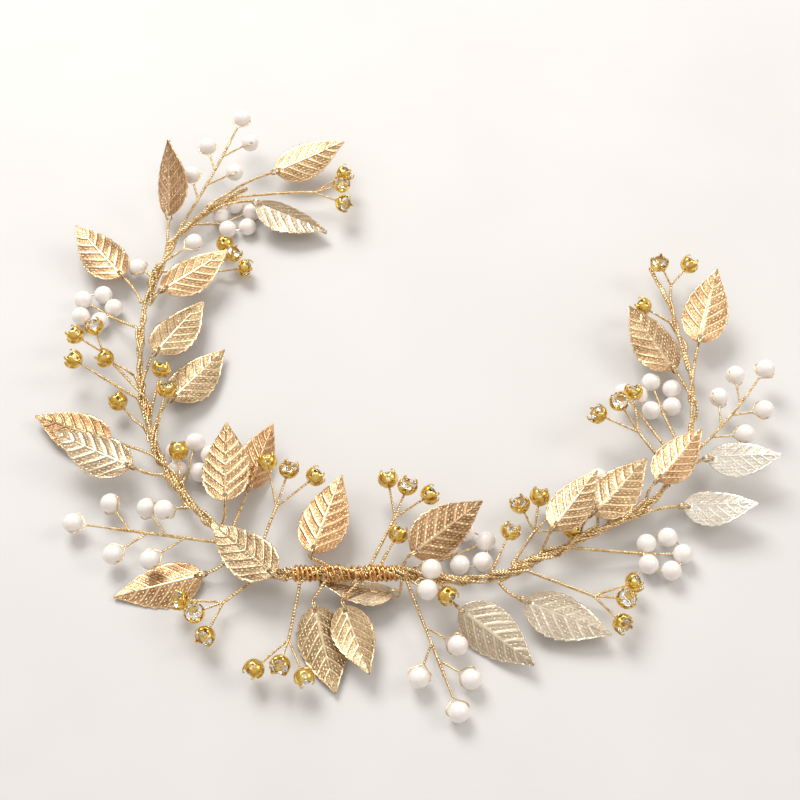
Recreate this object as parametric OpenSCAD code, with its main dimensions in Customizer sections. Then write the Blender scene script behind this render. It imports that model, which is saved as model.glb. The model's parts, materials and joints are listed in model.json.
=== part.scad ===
/* [Arms] */
// Length of the left arm along its spine
left_arm_l = 165; // [160:1:200]
// Length of the right arm along its spine
right_arm_l = 162; // [158:1:198]
// Height of the spine's centre line above the surface the vine lies on
spine_z = 6; // [5.5:0.5:8]

/* [Wire] */
// Diameter of the twisted spine in the middle stretch
middle_spine_d = 2.4; // [2:0.1:3]
// Diameter of the twisted spine in the inner half of each arm
inner_spine_d = 2.0; // [1.6:0.1:2.4]
// Diameter of the twisted spine in the outer half of each arm
outer_spine_d = 1.6; // [1.2:0.1:2]
// Diameter of a sprig's twisted stem
stem_d = 0.9; // [0.7:0.05:1.1]
// Diameter of the twigs that branch from a stem
twig_d = 0.7; // [0.5:0.05:0.8]
// Diameter of the single wire in the loops and rings
loop_wire_d = 0.5; // [0.4:0.05:0.6]

/* [Binding] */
// Diameter of the wire that binds the two arms together
binding_wire_d = 0.8; // [0.6:0.05:1]
// Distance from the middle of the vine to the outer end of each tight coil
binding_half_l = 13; // [12:0.5:14]
// Length of each tight coil
coil_l = 7.5; // [6:0.5:8]
// Pitch of the open wrap between the two tight coils
wrap_pitch = 1.6; // [1.2:0.1:2.4]

/* [Leaves] */
// Length of a large leaf
leaf_l = 22; // [18:0.5:23]
// Length of a small leaf
small_leaf_l = 18.5; // [15:0.5:20]
// Width of a large leaf
leaf_w = 11.5; // [9:0.5:12]
// Thickness of the stamped sheet
leaf_t = 0.4; // [0.3:0.05:0.5]
// Radius of the arch across a leaf
leaf_arch_r = 13; // [10:0.5:20]
// Diameter of the eye punched through a leaf's base
eye_d = 1.2; // [1:0.1:1.4]
// Distance from a leaf's base edge to the middle of its eye
eye_inset = 1.4; // [1.2:0.1:1.6]

/* [Crystals] */
// Diameter of a crystal at its girdle
stone_d = 4.2; // [3.4:0.1:4.8]
// Thickness of a cup's wall
cup_wall = 0.4; // [0.3:0.05:0.5]
// Diameter of the crossed holes that a cup's wire passes through
channel_d = 0.9; // [0.7:0.05:1]
// Width of a claw
claw_w = 0.8; // [0.6:0.1:1]

/* [Pearls] */
// Diameter of a pearl
pearl_d = 5; // [4:0.1:5.4]
// Space between a rosette's pearls and the wire that passes between them
pearl_gap = 0.1; // [0.05:0.05:0.3]
// Slack of a pearl on its wire
bore_slack = 0.1; // [0.05:0.05:0.2]

/* [Hidden] */
fit_gap = 0.05;
// a twig starts this far past the end of its stem
fork_gap = 0.45;
// the spine has a ring of corners about this often along its length
ring_pitch = 3.5;
// a stem starts this far from the wire it leaves
root_gap = 0.15;
// a bend's two halves of spine stop this far from each other
bend_gap = 0.3;
$fn = 24;

LEFT = 0;
RIGHT = 1;
// stretches of each arm from the middle to the tip: [per cent of the arm's length, turn towards the inside]
ARCS = [
    [[8.5, 0], [6, 42], [15, 8], [12, 20], [21, 18], [18, 22], [19.5, 45]],
    [[8.5, 0], [4.5, -15], [13.5, 42], [18.5, 0], [15, 38], [15.5, 27], [24.5, 16]]
];
ARM_L = [left_arm_l, right_arm_l];
// where each arm bends, in per cent of its length
BENDS = [[27, 67], [22, 54]];

// Every sprig's row starts: [arm, place on the arm in per cent, turn from the spine (positive is
// inwards), bend of the stem, length of the stem, rise of the stem].
// A leaf adds: turn at the eye, pitch, roll, large (1) or small (0).
LEAVES = [
    [LEFT, 3, 20, 0, 4, 10, 88, 6, 0, 1],
    [LEFT, 3, -55, 0, 5, -20, -50, -8, 0, 1],
    [LEFT, 8.6, -40, 0, 4.5, 60, 83, -3, 0, 1],
    [LEFT, 17, -85, 28, 8, -25, 0, -4, 0, 1],
    [LEFT, 20, 60, 0, 13, -5, 0, 5, -40, 0],
    [LEFT, 22, 75, -34, 5, 38, 0, 6, 0, 1],
    [LEFT, 35, -75, 40, 7, 20, 0, 4, 0, 1],
    [LEFT, 39, -35, -10, 12, -10, 0, 0, 0, 1],
    [LEFT, 44, 22, 30, 8, 0, 0, -8, 0, 1],
    [LEFT, 55, 22, 16, 4.5, 27, 0, -5, 0, 1],
    [LEFT, 69, -28, -20, 10, 0, 0, 6, 0, 1],
    [LEFT, 69, 40, 5, 4, 45, 0, 0, 0, 1],
    [LEFT, 82, -25, 0, 8, 5, 0, 30, 40, 1],
    [LEFT, 93, 12, 40, 11, 8, 10, -8, 10, 1],
    [LEFT, 97, -14, 24, 14, 0, 0, 10, -10, 1],
    [RIGHT, 2, -130, 0, 6, 0, 60, -2, 0, 0],
    [RIGHT, 8.6, -100, 0, 3.5, -40, -88, 0, 30, 0],
    [RIGHT, 8.6, 38, 0, 3.5, 60, 0, 6, 30, 1],
    [RIGHT, 15, -73, 43, 6, 0, 0, -5, 30, 1],
    [RIGHT, 23, -80, 42, 6.5, 0, 0, -5, 0, 1],
    [RIGHT, 31, 20, 5, 6, 60, 0, 10, 0, 0],
    [RIGHT, 38, 50, -30, 4.5, 45, 0, 0, 0, 1],
    [RIGHT, 50.5, 45, -38, 4.5, 60, 0, 8, 0, 0],
    [RIGHT, 49, -18, -20, 7.5, 5, 0, 3, 0, 0],
    [RIGHT, 56, -4, -22, 9, 15, -28, 4, 0, 0],
    [RIGHT, 74, 30, 0, 5, 15, 0, 8, 0, 1],
    [RIGHT, 78, -15, -5, 7, 10, 0, 15, 0, 1]
];
// A crystal sprig adds: crystals, angle between its twigs, length of a twig, rise of a cup's mouth.
CRYSTALS = [
    [LEFT, 6.5, -80, 0, 14, -12, 3, 32, 9, -50],
    [LEFT, 12, -60, 0, 11, -12, 3, 34, 8, 10],
    [LEFT, 14, 65, 6, 14, 5, 3, 32, 10, -10],
    [LEFT, 33, 30, 0, 2, 30, 1, 0, 3, -30],
    [LEFT, 43, 30, 0, 5, 35, 1, 0, 4, 20],
    [LEFT, 44.5, -25, 0, 5, -20, 1, 0, 4, -20],
    [LEFT, 47.5, 24, 0, 5, 10, 1, 0, 4, 0],
    [LEFT, 50, -47, 0, 12, 8, 1, 0, 6, 0],
    [LEFT, 52, -30, 0, 15, 0, 2, 36, 7, -10],
    [LEFT, 54.2, -55, 0, 3, 35, 1, 0, 4, -20],
    [LEFT, 71, 46, 0, 19, -11, 3, 36, 7, -20],
    [LEFT, 98, 20, 10, 22, 0, 3, 34, 8, 10],
    [RIGHT, 4, 66, 0, 14, 0, 3, 34, 8, -10],
    [RIGHT, 5.5, 60, 0, 3, 20, 1, 0, 3, -10],
    [RIGHT, 12, -30, 0, 3, 40, 1, 0, 3, -40],
    [RIGHT, 22.5, 50, 0, 5, 8, 1, 0, 4, 30],
    [RIGHT, 26, 34, 0, 12, -10, 4, 40, 7, -20],
    [RIGHT, 27.5, -46, 0, 17, -8, 3, 34, 8, 0],
    [RIGHT, 57, 68, 0, 13, 12, 3, 32, 9, 20],
    [RIGHT, 88, 50, 0, 3, 10, 1, 0, 3, -20],
    [RIGHT, 93, -20, 0, 4, 5, 2, 70, 6, 0]
];
// A pearl spray adds: pearls, angle between its twigs and the stem, length of a twig.
SPRAYS = [
    [LEFT, 20, -35, 0, 28, -3, 5, 45, 7],
    [LEFT, 28, -75, 0, 1.5, 30, 1, 0, 2],
    [LEFT, 75, -60, 0, 1.5, -20, 1, 0, 2],
    [LEFT, 76, 55, 0, 1.5, -20, 1, 0, 2],
    [LEFT, 79, 30, 0, 3, 0, 1, 0, 3],
    [LEFT, 86, -6, -6, 32, 8, 5, 40, 6],
    [RIGHT, 10, -45, 0, 2, 35, 2, 75, 2.5],
    [RIGHT, 9.3, -67, 0, 25.8, -5, 4, 40, 6],
    [RIGHT, 41, 57, 0, 9, -8, 1, 0, 3],
    [RIGHT, 61, -25, 12, 26, 3, 5, 40, 6],
    [RIGHT, 59.5, 55, 0, 17, 0, 1, 0, 4]
];
// A rosette adds nothing: it sits flat at the end of its stem.
ROSETTES = [
    [LEFT, 32, 43, 0, 5, -35],
    [LEFT, 64, -54, 0, 10.5, -17],
    [LEFT, 88, 26, 0, 8, -26],
    [RIGHT, 10.5, 33, 0, 10, -17],
    [RIGHT, 36, -27, 0, 17, -10],
    [RIGHT, 62, 34, 0, 13.6, -11]
];
ROSETTE_PEARLS = 5;

// each body: [name, [[arm, from, to], ...] in per cent of the arm, diameter of its spine]
BODIES = [
    ["middle", [[LEFT, 0, BENDS[LEFT][0]], [RIGHT, 0, BENDS[RIGHT][0]]], middle_spine_d],
    ["left_inner", [[LEFT, BENDS[LEFT][0], BENDS[LEFT][1]]], inner_spine_d],
    ["left_outer", [[LEFT, BENDS[LEFT][1], 100]], outer_spine_d],
    ["right_inner", [[RIGHT, BENDS[RIGHT][0], BENDS[RIGHT][1]]], inner_spine_d],
    ["right_outer", [[RIGHT, BENDS[RIGHT][1], 100]], outer_spine_d]
];

coil_r = middle_spine_d / 2 + fit_gap + binding_wire_d;
loop_r = 0.3 * pearl_d;
ring_r = (pearl_d / 2 + loop_wire_d / 2 + pearl_gap) / sin(180 / ROSETTE_PEARLS);
cup_r = stone_d / 2 + cup_wall + fit_gap;
girdle_z = 0.25 * stone_d / 2;

// ---- places ----

// point of an arc of length l and turn b that leaves the origin along +X
function arc_point(l, b, f) =
    b == 0 ? [l * f, 0] : let (r = l / b * 180 / PI) [r * sin(b * f), r * (1 - cos(b * f))];

function turned(p, a) = [p[0] * cos(a) - p[1] * sin(a), p[0] * sin(a) + p[1] * cos(a)];

// [x, y, heading] of the spine s millimetres from the middle, in the arm's own frame
function along(arm, s, i = 0, at = [0, 0], heading = 0) =
    let (
        arcs = ARCS[arm],
        l = arcs[i][0] * ARM_L[arm] / 100,
        f = s / l,
        p = at + turned(arc_point(l, arcs[i][1], min(f, 1)), heading)
    )
    f <= 1 || i == len(arcs) - 1
        ? [p[0], p[1], heading + arcs[i][1] * min(f, 1)]
        : along(arm, s - l, i + 1, p, heading + arcs[i][1]);

function spine_d(arm, at) =
    at < BENDS[arm][0] ? middle_spine_d : at < BENDS[arm][1] ? inner_spine_d : outer_spine_d;

// radius of what a stem leaves: the tight coil, the open wrap or the bare spine
function seat_r(arm, at) =
    at * ARM_L[arm] / 100 < binding_half_l + stem_d ? coil_r : spine_d(arm, at) / 2;

function in_body(row, body) =
    len([for (part = body[1]) if (row[0] == part[0] && row[1] >= part[1] && row[1] < part[2]) 1]) > 0;

// the arm's own frame runs along +X and curves towards +Y; the left arm is its mirror image
module on_arm(arm) {
    translate([0, 0, spine_z]) mirror([arm == LEFT ? 1 : 0, 0, 0]) children();
}

module at_root(row) {
    place = along(row[0], row[1] * ARM_L[row[0]] / 100);
    side = row[2] < 0 ? -1 : 1;
    on_arm(row[0]) translate([place[0], place[1], 0]) rotate(place[2])
        translate([0, side * (seat_r(row[0], row[1]) + stem_d / 2 + root_gap), 0]) rotate(row[2]) children();
}

// level frame at the share f of a row's stem, headed as the stem is
module on_stem(row, f = 1) {
    p = arc_point(row[4], row[3], f);
    at_root(row) translate([p[0] * cos(row[5]), p[1], p[0] * sin(row[5])]) rotate(row[3] * f) children();
}

// ---- wire ----

module wire(l, bend, d) {
    if (bend == 0) {
        rotate([0, 90, 0]) cylinder(d = d, h = l);
    } else {
        r = l / abs(bend) * 180 / PI;
        side = sign(bend);
        translate([0, side * r, 0]) rotate(side > 0 ? -90 : 90 - abs(bend))
            rotate_extrude(angle = abs(bend), $fn = 144) translate([r, 0]) circle(d = d, $fn = 24);
    }
}

module wire_ring(r) {
    rotate_extrude($fn = 48) translate([r, 0]) circle(d = loop_wire_d);
}

// how far short of its full length a stem ends: a leaf's stem stops at the loop in the leaf's eye
function stem_cut(row, for_leaf) =
    for_leaf ? (stem_d / 2 * sin(abs(row[5])) + loop_wire_d / 2 + 2 * fit_gap) / cos(row[5]) : 0;

module stem(row, for_leaf = false) {
    share = 1 - stem_cut(row, for_leaf) / row[4];
    at_root(row) rotate([0, -row[5], 0]) wire(row[4] * share, row[3] * share, stem_d);
}

// places [x, y, heading] in the vine's own frame, from left to right, along one body's share of an arm
function run_places(part) =
    let (
        mm = ARM_L[part[0]] / 100,
        from = part[1] * mm + (part[1] == 0 ? 0 : bend_gap / 2),
        to = part[2] * mm - (part[2] == 100 ? 0 : bend_gap / 2),
        n = ceil((to - from) / ring_pitch),
        outwards = [for (i = [0 : n]) along(part[0], from + (to - from) * i / n)]
    )
    part[0] == RIGHT ? outwards : [for (i = [n : -1 : 0]) [-outwards[i][0], outwards[i][1], -outwards[i][2]]];

// the middle body's spine runs through the binding from one arm into the other
function spine_places(body) =
    let (first = run_places(body[1][0]))
    len(body[1]) == 1 ? first : concat(first, [for (p = run_places(body[1][1])) if (p[0] > 0) p]);

// a tube along level places
module tube(places, d) {
    sides = 12;
    last = (len(places) - 1) * sides;
    polyhedron(
        [for (p = places, a = [0 : 360 / sides : 359])
            [p[0] - d / 2 * cos(a) * sin(p[2]), p[1] + d / 2 * cos(a) * cos(p[2]), d / 2 * sin(a)]],
        concat(
            [[for (k = [0 : sides - 1]) k]],
            [for (i = [0 : sides : last - 1], k = [0 : sides - 1], half = [0, 1])
                let (a = i + k, b = i + (k + 1) % sides)
                half == 0 ? [a, a + sides, b] : [b, a + sides, b + sides]],
            [[for (k = [sides - 1 : -1 : 0]) last + k]]
        )
    );
}

module body_spine(body) {
    color("gold") translate([0, 0, spine_z]) tube(spine_places(body), body[2]);
}

// ---- binding ----

// a close coil of touching turns: a sleeve with a ridge for each turn
module coil(from, l) {
    turns = floor(l / binding_wire_d) + 1;
    valley = coil_r - 0.2 * binding_wire_d;
    inside = coil_r - binding_wire_d;
    rotate([0, 90, 0]) rotate_extrude() polygon(concat(
        [for (i = [0 : turns - 1], p = [[valley, 0], [coil_r, 0.3], [coil_r, 0.7]])
            [p[0], from + (i + p[1]) * l / turns]],
        [[valley, from + l], [inside, from + l], [inside, from]]
    ));
}

module binding_end_coils() {
    color("goldenrod") for (arm = [LEFT, RIGHT]) on_arm(arm) coil(binding_half_l - coil_l, coil_l);
}

module binding_wrap() {
    room = binding_half_l - coil_l - binding_wire_d / 2 - fit_gap;
    turns = floor(room / wrap_pitch);
    color("goldenrod") translate([0, 0, spine_z]) for (i = [-turns : turns])
        translate([i * wrap_pitch, 0, 0]) rotate([0, 90, 0]) rotate_extrude()
            translate([coil_r - binding_wire_d / 2, 0]) circle(d = binding_wire_d);
}

// ---- leaf ----

// half the width of a leaf at the share t of its length: round base, drawn-out tip
function leaf_half_w(t, w) = w / 2 * 1.06 * pow(sin(180 * pow(t, 0.75)), 0.75) * (1 - 0.2 * t);

module leaf_outline(l, w) {
    steps = 14;
    upper = [for (i = [0 : steps]) [l * i / steps, leaf_half_w(i / steps, w)]];
    lower = [for (i = [steps - 1 : -1 : 1]) [l * i / steps, -leaf_half_w(i / steps, w)]];
    polygon(concat(upper, lower));
}

// a leaf lies along +X from its base edge, arched about its midrib, with its top at z = 0
module leaf_blade(l) {
    difference() {
        intersection() {
            linear_extrude(leaf_w, center = true) leaf_outline(l, leaf_w * l / leaf_l);
            translate([-1, 0, -leaf_arch_r]) rotate([0, 90, 0]) difference() {
                cylinder(r = leaf_arch_r, h = l + 2, $fn = 96);
                translate([0, 0, -1]) cylinder(r = leaf_arch_r - leaf_t, h = l + 4, $fn = 96);
            }
        }
        translate([eye_inset, 0, 0]) cylinder(d = eye_d, h = leaf_w, center = true);
    }
}

module at_eye(row) {
    on_stem(row) rotate(row[6]) rotate([0, -row[7], 0]) rotate([row[8], 0, 0])
        translate([eye_inset, 0, 0]) children();
}

module leaf(row) {
    color("burlywood") at_eye(row) leaf_blade(row[9] == 1 ? leaf_l : small_leaf_l);
}

// the loop of wire through a leaf's eye, round its base edge and back to the stem
module eye_loop(row) {
    at_eye(row) translate([0, 0, -leaf_t / 2]) rotate([90, 0, 0]) wire_ring(eye_inset);
}

// ---- crystals ----

function fan(row, i) = (i - (row[6] - 1) / 2) * row[7];
function twig_l(row, i) = row[8] * (i % 2 == 0 ? 1 : 0.75);

module on_fork(row, i) {
    on_stem(row) rotate(fan(row, i)) rotate([0, -10 - 15 * (i % 2), 0]) children();
}

module crystal_twigs(row) {
    for (i = [0 : row[6] - 1]) on_fork(row, i)
        translate([fork_gap, 0, 0]) wire(twig_l(row, i) - fork_gap, 0, twig_d);
}

// a cup's bowl is centred on its own origin and opens along +Z
module at_cup(row, i) {
    on_fork(row, i) translate([twig_l(row, i) + cup_r + fit_gap, 0, 0])
        rotate([0, 90 - row[9] - 50 * (i % 2), 0]) rotate(45) children();
}

module stone_profile() {
    r = stone_d / 2;
    polygon([[0, girdle_z - 0.8 * r], [r, girdle_z], [0.55 * r, girdle_z + 0.4 * r], [0, girdle_z + 0.4 * r]]);
}

module crystal() {
    rotate_extrude() stone_profile();
}

module claw() {
    r = cup_r;
    rotate([90, 0, 0]) linear_extrude(claw_w, center = true) polygon([
        [r - cup_wall, 0], [r, 0], [r, girdle_z + 0.1 * r], [0.75 * r, girdle_z + 0.45 * r],
        [0.68 * r, girdle_z + 0.35 * r], [r - cup_wall, girdle_z + fit_gap]
    ]);
}

module cup() {
    difference() {
        rotate_extrude() difference() {
            intersection() {
                circle(r = cup_r, $fn = 48);
                translate([0, -cup_r]) square([cup_r, cup_r + girdle_z]);
            }
            intersection() {
                circle(r = cup_r - cup_wall, $fn = 48);
                translate([0, -cup_r]) square([cup_r, 2 * cup_r]);
            }
        }
        for (a = [45, -45]) rotate(a) translate([0, 0, -cup_r / 2]) rotate([90, 0, 0])
            cylinder(d = channel_d, h = 2 * cup_r, center = true);
    }
    for (a = [0 : 90 : 270]) rotate(a) claw();
}

// ---- pearls ----

// a pearl sits on its own origin; its wire's loop runs through it and closes at x = -2 * loop_r
module pearl() {
    difference() {
        sphere(d = pearl_d, $fn = 48);
        translate([-loop_r, 0, 0]) bore_ring(loop_r);
    }
}

module bore_ring(r) {
    rotate_extrude($fn = 48) translate([r, 0]) circle(d = loop_wire_d + 2 * bore_slack);
}

// where a spray's pearl i leaves the stem, as a share of its length; the last one ends it
function spray_share(row, i) = 1 - 0.17 * i;
function spray_turn(row, i) = i == 0 ? 0 : (i % 2 == 0 ? 1 : -1) * sign(row[2]) * row[7];

module on_spray(row, i) {
    on_stem(row, spray_share(row, i)) rotate(spray_turn(row, i)) rotate([0, -row[5], 0])
        rotate([40 * (i % 2), 0, 0]) children();
}

// a side twig starts where it clears the stem that it leaves
function spray_clear(row, i) =
    i == 0 ? fork_gap : (stem_d / 2 + twig_d / 2 * cos(row[7]) + fit_gap) / sin(row[7]);

module spray_twigs(row) {
    for (i = [0 : row[6] - 1]) on_spray(row, i) {
        translate([spray_clear(row, i), 0, 0]) wire(row[8] - spray_clear(row, i), 0, twig_d);
        translate([row[8] + loop_r, 0, 0]) wire_ring(loop_r);
    }
}

module spray_pearls(row) {
    for (i = [0 : row[6] - 1]) on_spray(row, i) translate([row[8] + 2 * loop_r, 0, 0]) pearl();
}

module at_rosette(row) {
    on_stem(row) translate([ring_r + loop_wire_d / 2 + fit_gap, 0, 0]) children();
}

module rosette_pearls(row) {
    at_rosette(row) for (i = [0 : ROSETTE_PEARLS - 1]) rotate(i * 360 / ROSETTE_PEARLS) difference() {
        translate([ring_r, 0, 0]) sphere(d = pearl_d, $fn = 48);
        bore_ring(ring_r);
    }
}

// a ring of wire with one wire across it, from the stem's side to the far pearl
module rosette_wire(row) {
    at_rosette(row) {
        wire_ring(ring_r);
        translate([-ring_r, 0, 0]) wire(2 * ring_r - pearl_d / 2 - fit_gap, 0, loop_wire_d);
    }
}

// ---- nodes of one body ----

module body_stems(body) {
    color("gold") {
        for (row = LEAVES) if (in_body(row, body)) stem(row, true);
        for (row = concat(CRYSTALS, SPRAYS, ROSETTES)) if (in_body(row, body)) stem(row);
    }
}

module body_twigs(body) {
    color("gold") {
        for (row = LEAVES) if (in_body(row, body)) eye_loop(row);
        for (row = CRYSTALS) if (in_body(row, body)) crystal_twigs(row);
        for (row = SPRAYS) if (in_body(row, body)) spray_twigs(row);
        for (row = ROSETTES) if (in_body(row, body)) rosette_wire(row);
    }
}

module body_cups(body) {
    color("orange") for (row = CRYSTALS) if (in_body(row, body))
        for (i = [0 : row[6] - 1]) at_cup(row, i) cup();
}

module body_crystals(body) {
    color("white") for (row = CRYSTALS) if (in_body(row, body))
        for (i = [0 : row[6] - 1]) at_cup(row, i) crystal();
}

module body_pearls(body) {
    color("ivory") {
        for (row = SPRAYS) if (in_body(row, body)) spray_pearls(row);
        for (row = ROSETTES) if (in_body(row, body)) rosette_pearls(row);
    }
}

binding_end_coils();
binding_wrap();
for (i = [1 : len(LEAVES)]) leaf(LEAVES[i - 1]);
for (b = BODIES) {
    body_spine(b);
    body_stems(b);
    body_cups(b);
    body_crystals(b);
    body_pearls(b);
    body_twigs(b);
}
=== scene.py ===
# %% [markdown]
# A bridal hair vine
#
# The real object is one long twist of thin gold wire that lies on the table in an open curve.
# Stamped leaves, crystals in little claw cups, and ivory pearls branch off it on thinner
# twists. The CAD frame already says where each of them is and which of them move together,
# so this lesson only gives them their real surfaces. Every place is measured from the frame.

import json
import math
import random

import bmesh
import bpy
import numpy as np
from mathutils import Matrix, Vector, noise

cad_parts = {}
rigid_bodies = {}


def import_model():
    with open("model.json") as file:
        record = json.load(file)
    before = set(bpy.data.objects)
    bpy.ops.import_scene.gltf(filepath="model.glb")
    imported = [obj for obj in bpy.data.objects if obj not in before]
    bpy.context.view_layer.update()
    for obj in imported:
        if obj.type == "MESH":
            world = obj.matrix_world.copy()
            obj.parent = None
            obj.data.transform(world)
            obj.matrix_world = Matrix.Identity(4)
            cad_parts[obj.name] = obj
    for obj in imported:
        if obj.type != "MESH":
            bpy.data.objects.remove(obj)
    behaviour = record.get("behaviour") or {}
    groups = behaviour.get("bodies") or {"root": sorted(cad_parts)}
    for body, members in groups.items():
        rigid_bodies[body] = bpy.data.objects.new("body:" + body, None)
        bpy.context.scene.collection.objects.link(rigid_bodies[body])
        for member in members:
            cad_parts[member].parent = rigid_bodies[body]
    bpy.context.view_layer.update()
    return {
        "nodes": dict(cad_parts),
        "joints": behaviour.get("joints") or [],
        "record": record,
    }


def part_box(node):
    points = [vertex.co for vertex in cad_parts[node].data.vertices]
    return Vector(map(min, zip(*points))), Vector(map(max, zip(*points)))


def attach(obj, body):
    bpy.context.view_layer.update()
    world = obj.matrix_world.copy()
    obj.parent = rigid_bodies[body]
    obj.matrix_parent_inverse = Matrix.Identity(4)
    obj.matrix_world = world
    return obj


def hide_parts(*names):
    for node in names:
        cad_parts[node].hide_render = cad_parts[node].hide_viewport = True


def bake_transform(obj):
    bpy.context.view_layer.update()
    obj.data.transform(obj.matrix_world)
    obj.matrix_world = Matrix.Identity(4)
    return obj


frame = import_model()
bodies = frame["record"]["behaviour"]["bodies"]
body_of = {node: body for body, members in bodies.items() for node in members}
MM = 0.001
draw = random.Random(7)
print("bodies:", {body: len(members) for body, members in bodies.items()})

# %% [markdown]
# Reading the frame's solids
#
# A CAD node can hold several solids, such as fourteen cups. Each one is found by walking from
# corner to corner along its edges. The flat round ends of a wire are useful to know as well.
# Dissolving the lines between coplanar faces turns each end into one face with many sides,
# whose middle and direction are the wire's own.

# %% Solids of a node


def merged(node):
    """A copy of a CAD node's mesh with its loose triangles joined up."""
    mesh = bmesh.new()
    mesh.from_mesh(frame["nodes"][node].data)
    bmesh.ops.remove_doubles(mesh, verts=mesh.verts, dist=0.002 * MM)
    return mesh


def islands(mesh):
    """The separate solids of a mesh, each as a list of its vertices."""
    unseen, found = set(mesh.verts), []
    for start in mesh.verts:
        if start not in unseen:
            continue
        unseen.discard(start)
        island, front = [start], [start]
        while front:
            for edge in front.pop().link_edges:
                for vert in edge.verts:
                    if vert in unseen:
                        unseen.discard(vert)
                        island.append(vert)
                        front.append(vert)
        found.append(island)
    return found


def point_sets(node):
    """The corners of each solid of a node, as arrays."""
    mesh = merged(node)
    sets = [np.array([v.co for v in island]) for island in islands(mesh)]
    mesh.free()
    return sets


def wire_solids(node):
    """(corners, flat round ends as [middle, outward direction]) for each wire solid of a node."""
    mesh = merged(node)
    bmesh.ops.dissolve_limit(
        mesh, angle_limit=math.radians(0.2), verts=mesh.verts, edges=mesh.edges
    )
    solids = []
    for island in islands(mesh):
        faces = {face for vert in island for face in vert.link_faces}
        ends = [
            (len(face.verts), face.calc_center_median(), face.normal.copy())
            for face in faces
            if len(face.verts) >= 10
        ]
        ends.sort(key=lambda end: -end[0])
        solids.append((np.array([v.co for v in island]), [end[1:] for end in ends]))
    mesh.free()
    return solids


print("stems on the middle body:", len(wire_solids("middle_stems")))

# %% [markdown]
# Smooth lines
#
# All the wire follows lines through a few known points. A Catmull-Rom curve passes through
# every one of them without a corner, which is how a soft wire bends. A line also needs a
# sideways direction at each point that doesn't spin on its own, so that strands can be
# wound round it evenly.

# %% Lines and winding


def smooth(points, step):
    """Points about one step apart on a smooth curve through the given points."""
    p = [Vector(q) for q in points]
    p = [2 * p[0] - p[1], *p, 2 * p[-1] - p[-2]]
    line = []
    for a, b, c, d in zip(p, p[1:], p[2:], p[3:]):
        count = max(1, round((c - b).length / step))
        for i in range(count):
            t = i / count
            part = 2 * b + (c - a) * t + (2 * a - 5 * b + 4 * c - d) * t * t
            line.append(0.5 * (part + (3 * b - a - 3 * c + d) * t * t * t))
    return [*line, p[-2].copy()]


def walked(line):
    """The length walked along a line at each of its points."""
    lengths = [0.0]
    for a, b in zip(line, line[1:]):
        lengths.append(lengths[-1] + (b - a).length)
    return lengths


def sideways(line, first=Vector((0, 0, 1))):
    """Two directions across a line at each point, carried along it without spinning."""
    frames, across = [], first
    for i in range(len(line)):
        along = (line[min(i + 1, len(line) - 1)] - line[max(i - 1, 0)]).normalized()
        across = across - along * across.dot(along)
        if across.length < 1e-3:
            across = along.orthogonal()
        across.normalize()
        frames.append((across.copy(), along.cross(across)))
    return frames


def wound(line, strands, radius, pitch, phase=0.0, loose=0.0):
    """Lines of strands wound round a line, each at the given radius from it."""
    lengths, frames = walked(line), sideways(line)
    radii = radius if hasattr(radius, "__len__") else [radius] * len(line)
    out = []
    for k in range(strands):
        strand = []
        for point, s, (a, b), r in zip(line, lengths, frames, radii):
            wander = 1 + loose * noise.noise(Vector((s / (3 * MM), 7.3 * k, 0)))
            turn = phase + 2 * math.pi * (s / pitch + k / strands)
            turn += loose * noise.noise(Vector((s / (4 * MM), 3.1 * k, 5)))
            strand.append(point + (a * math.cos(turn) + b * math.sin(turn)) * r * wander)
        out.append(strand)
    return out


print("a quarter circle has", len(smooth([(1, 0, 0), (0.7, 0.7, 0), (0, 1, 0)], 0.1)), "points")

# %% [markdown]
# From a line to a piece
#
# A curve object with a round bevel turns any line into wire, and its evaluated mesh is kept
# in its place. Each finished mesh then becomes an object that takes its finish, rides on its
# body and stands in for the CAD nodes that it replaces. These three steps are the same for
# every piece, so they are written once.

# %% Wires and pieces


def linked(name, data):
    """A new object for some data, in the scene."""
    made = bpy.data.objects.new(name, data)
    bpy.context.scene.collection.objects.link(made)
    return made


def finished(mesh, name):
    """A named mesh made from a bmesh, which is freed."""
    data = bpy.data.meshes.new(name)
    mesh.to_mesh(data)
    mesh.free()
    return data


def wires(name, lines):
    """One mesh of round wires, from (line, radius) pairs."""
    curve = bpy.data.curves.new(name + "_line", "CURVE")
    curve.dimensions = "3D"
    curve.bevel_depth = 1.0
    curve.bevel_resolution = 1
    curve.use_fill_caps = True
    for line, radius in lines:
        spline = curve.splines.new("POLY")
        spline.points.add(len(line) - 1)
        spline.points.foreach_set("co", [x for p in line for x in (*p, 1.0)])
        spline.points.foreach_set("radius", [radius] * len(line))
    holder = linked(name + "_line", curve)
    bpy.context.view_layer.update()
    depsgraph = bpy.context.evaluated_depsgraph_get()
    mesh = bpy.data.meshes.new_from_object(holder.evaluated_get(depsgraph))
    mesh.name = name
    bpy.data.objects.remove(holder)
    bpy.data.curves.remove(curve)
    return mesh


def shown(name, mesh, finish, body=None, replaced=()):
    """An object for a finished mesh, riding on its body and standing for its CAD nodes."""
    piece = linked(name, mesh)
    mesh.materials.clear()
    mesh.materials.append(finish)
    mesh.polygons.foreach_set("use_smooth", [True] * len(mesh.polygons))
    if body:
        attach(piece, body)
    if replaced:
        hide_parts(*replaced)
    return piece


# %% [markdown]
# Wear and grain
#
# Gold plate is never one colour. It is thinner and darker in some places than in others, and
# handling leaves faint fine marks. One node group makes both, from noise on the object's own
# coordinates, and every metal here uses it with its own sizes. It puts out masks only, so
# each material still sets its own colours and keeps its own shader.

# %% The plating group


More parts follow.
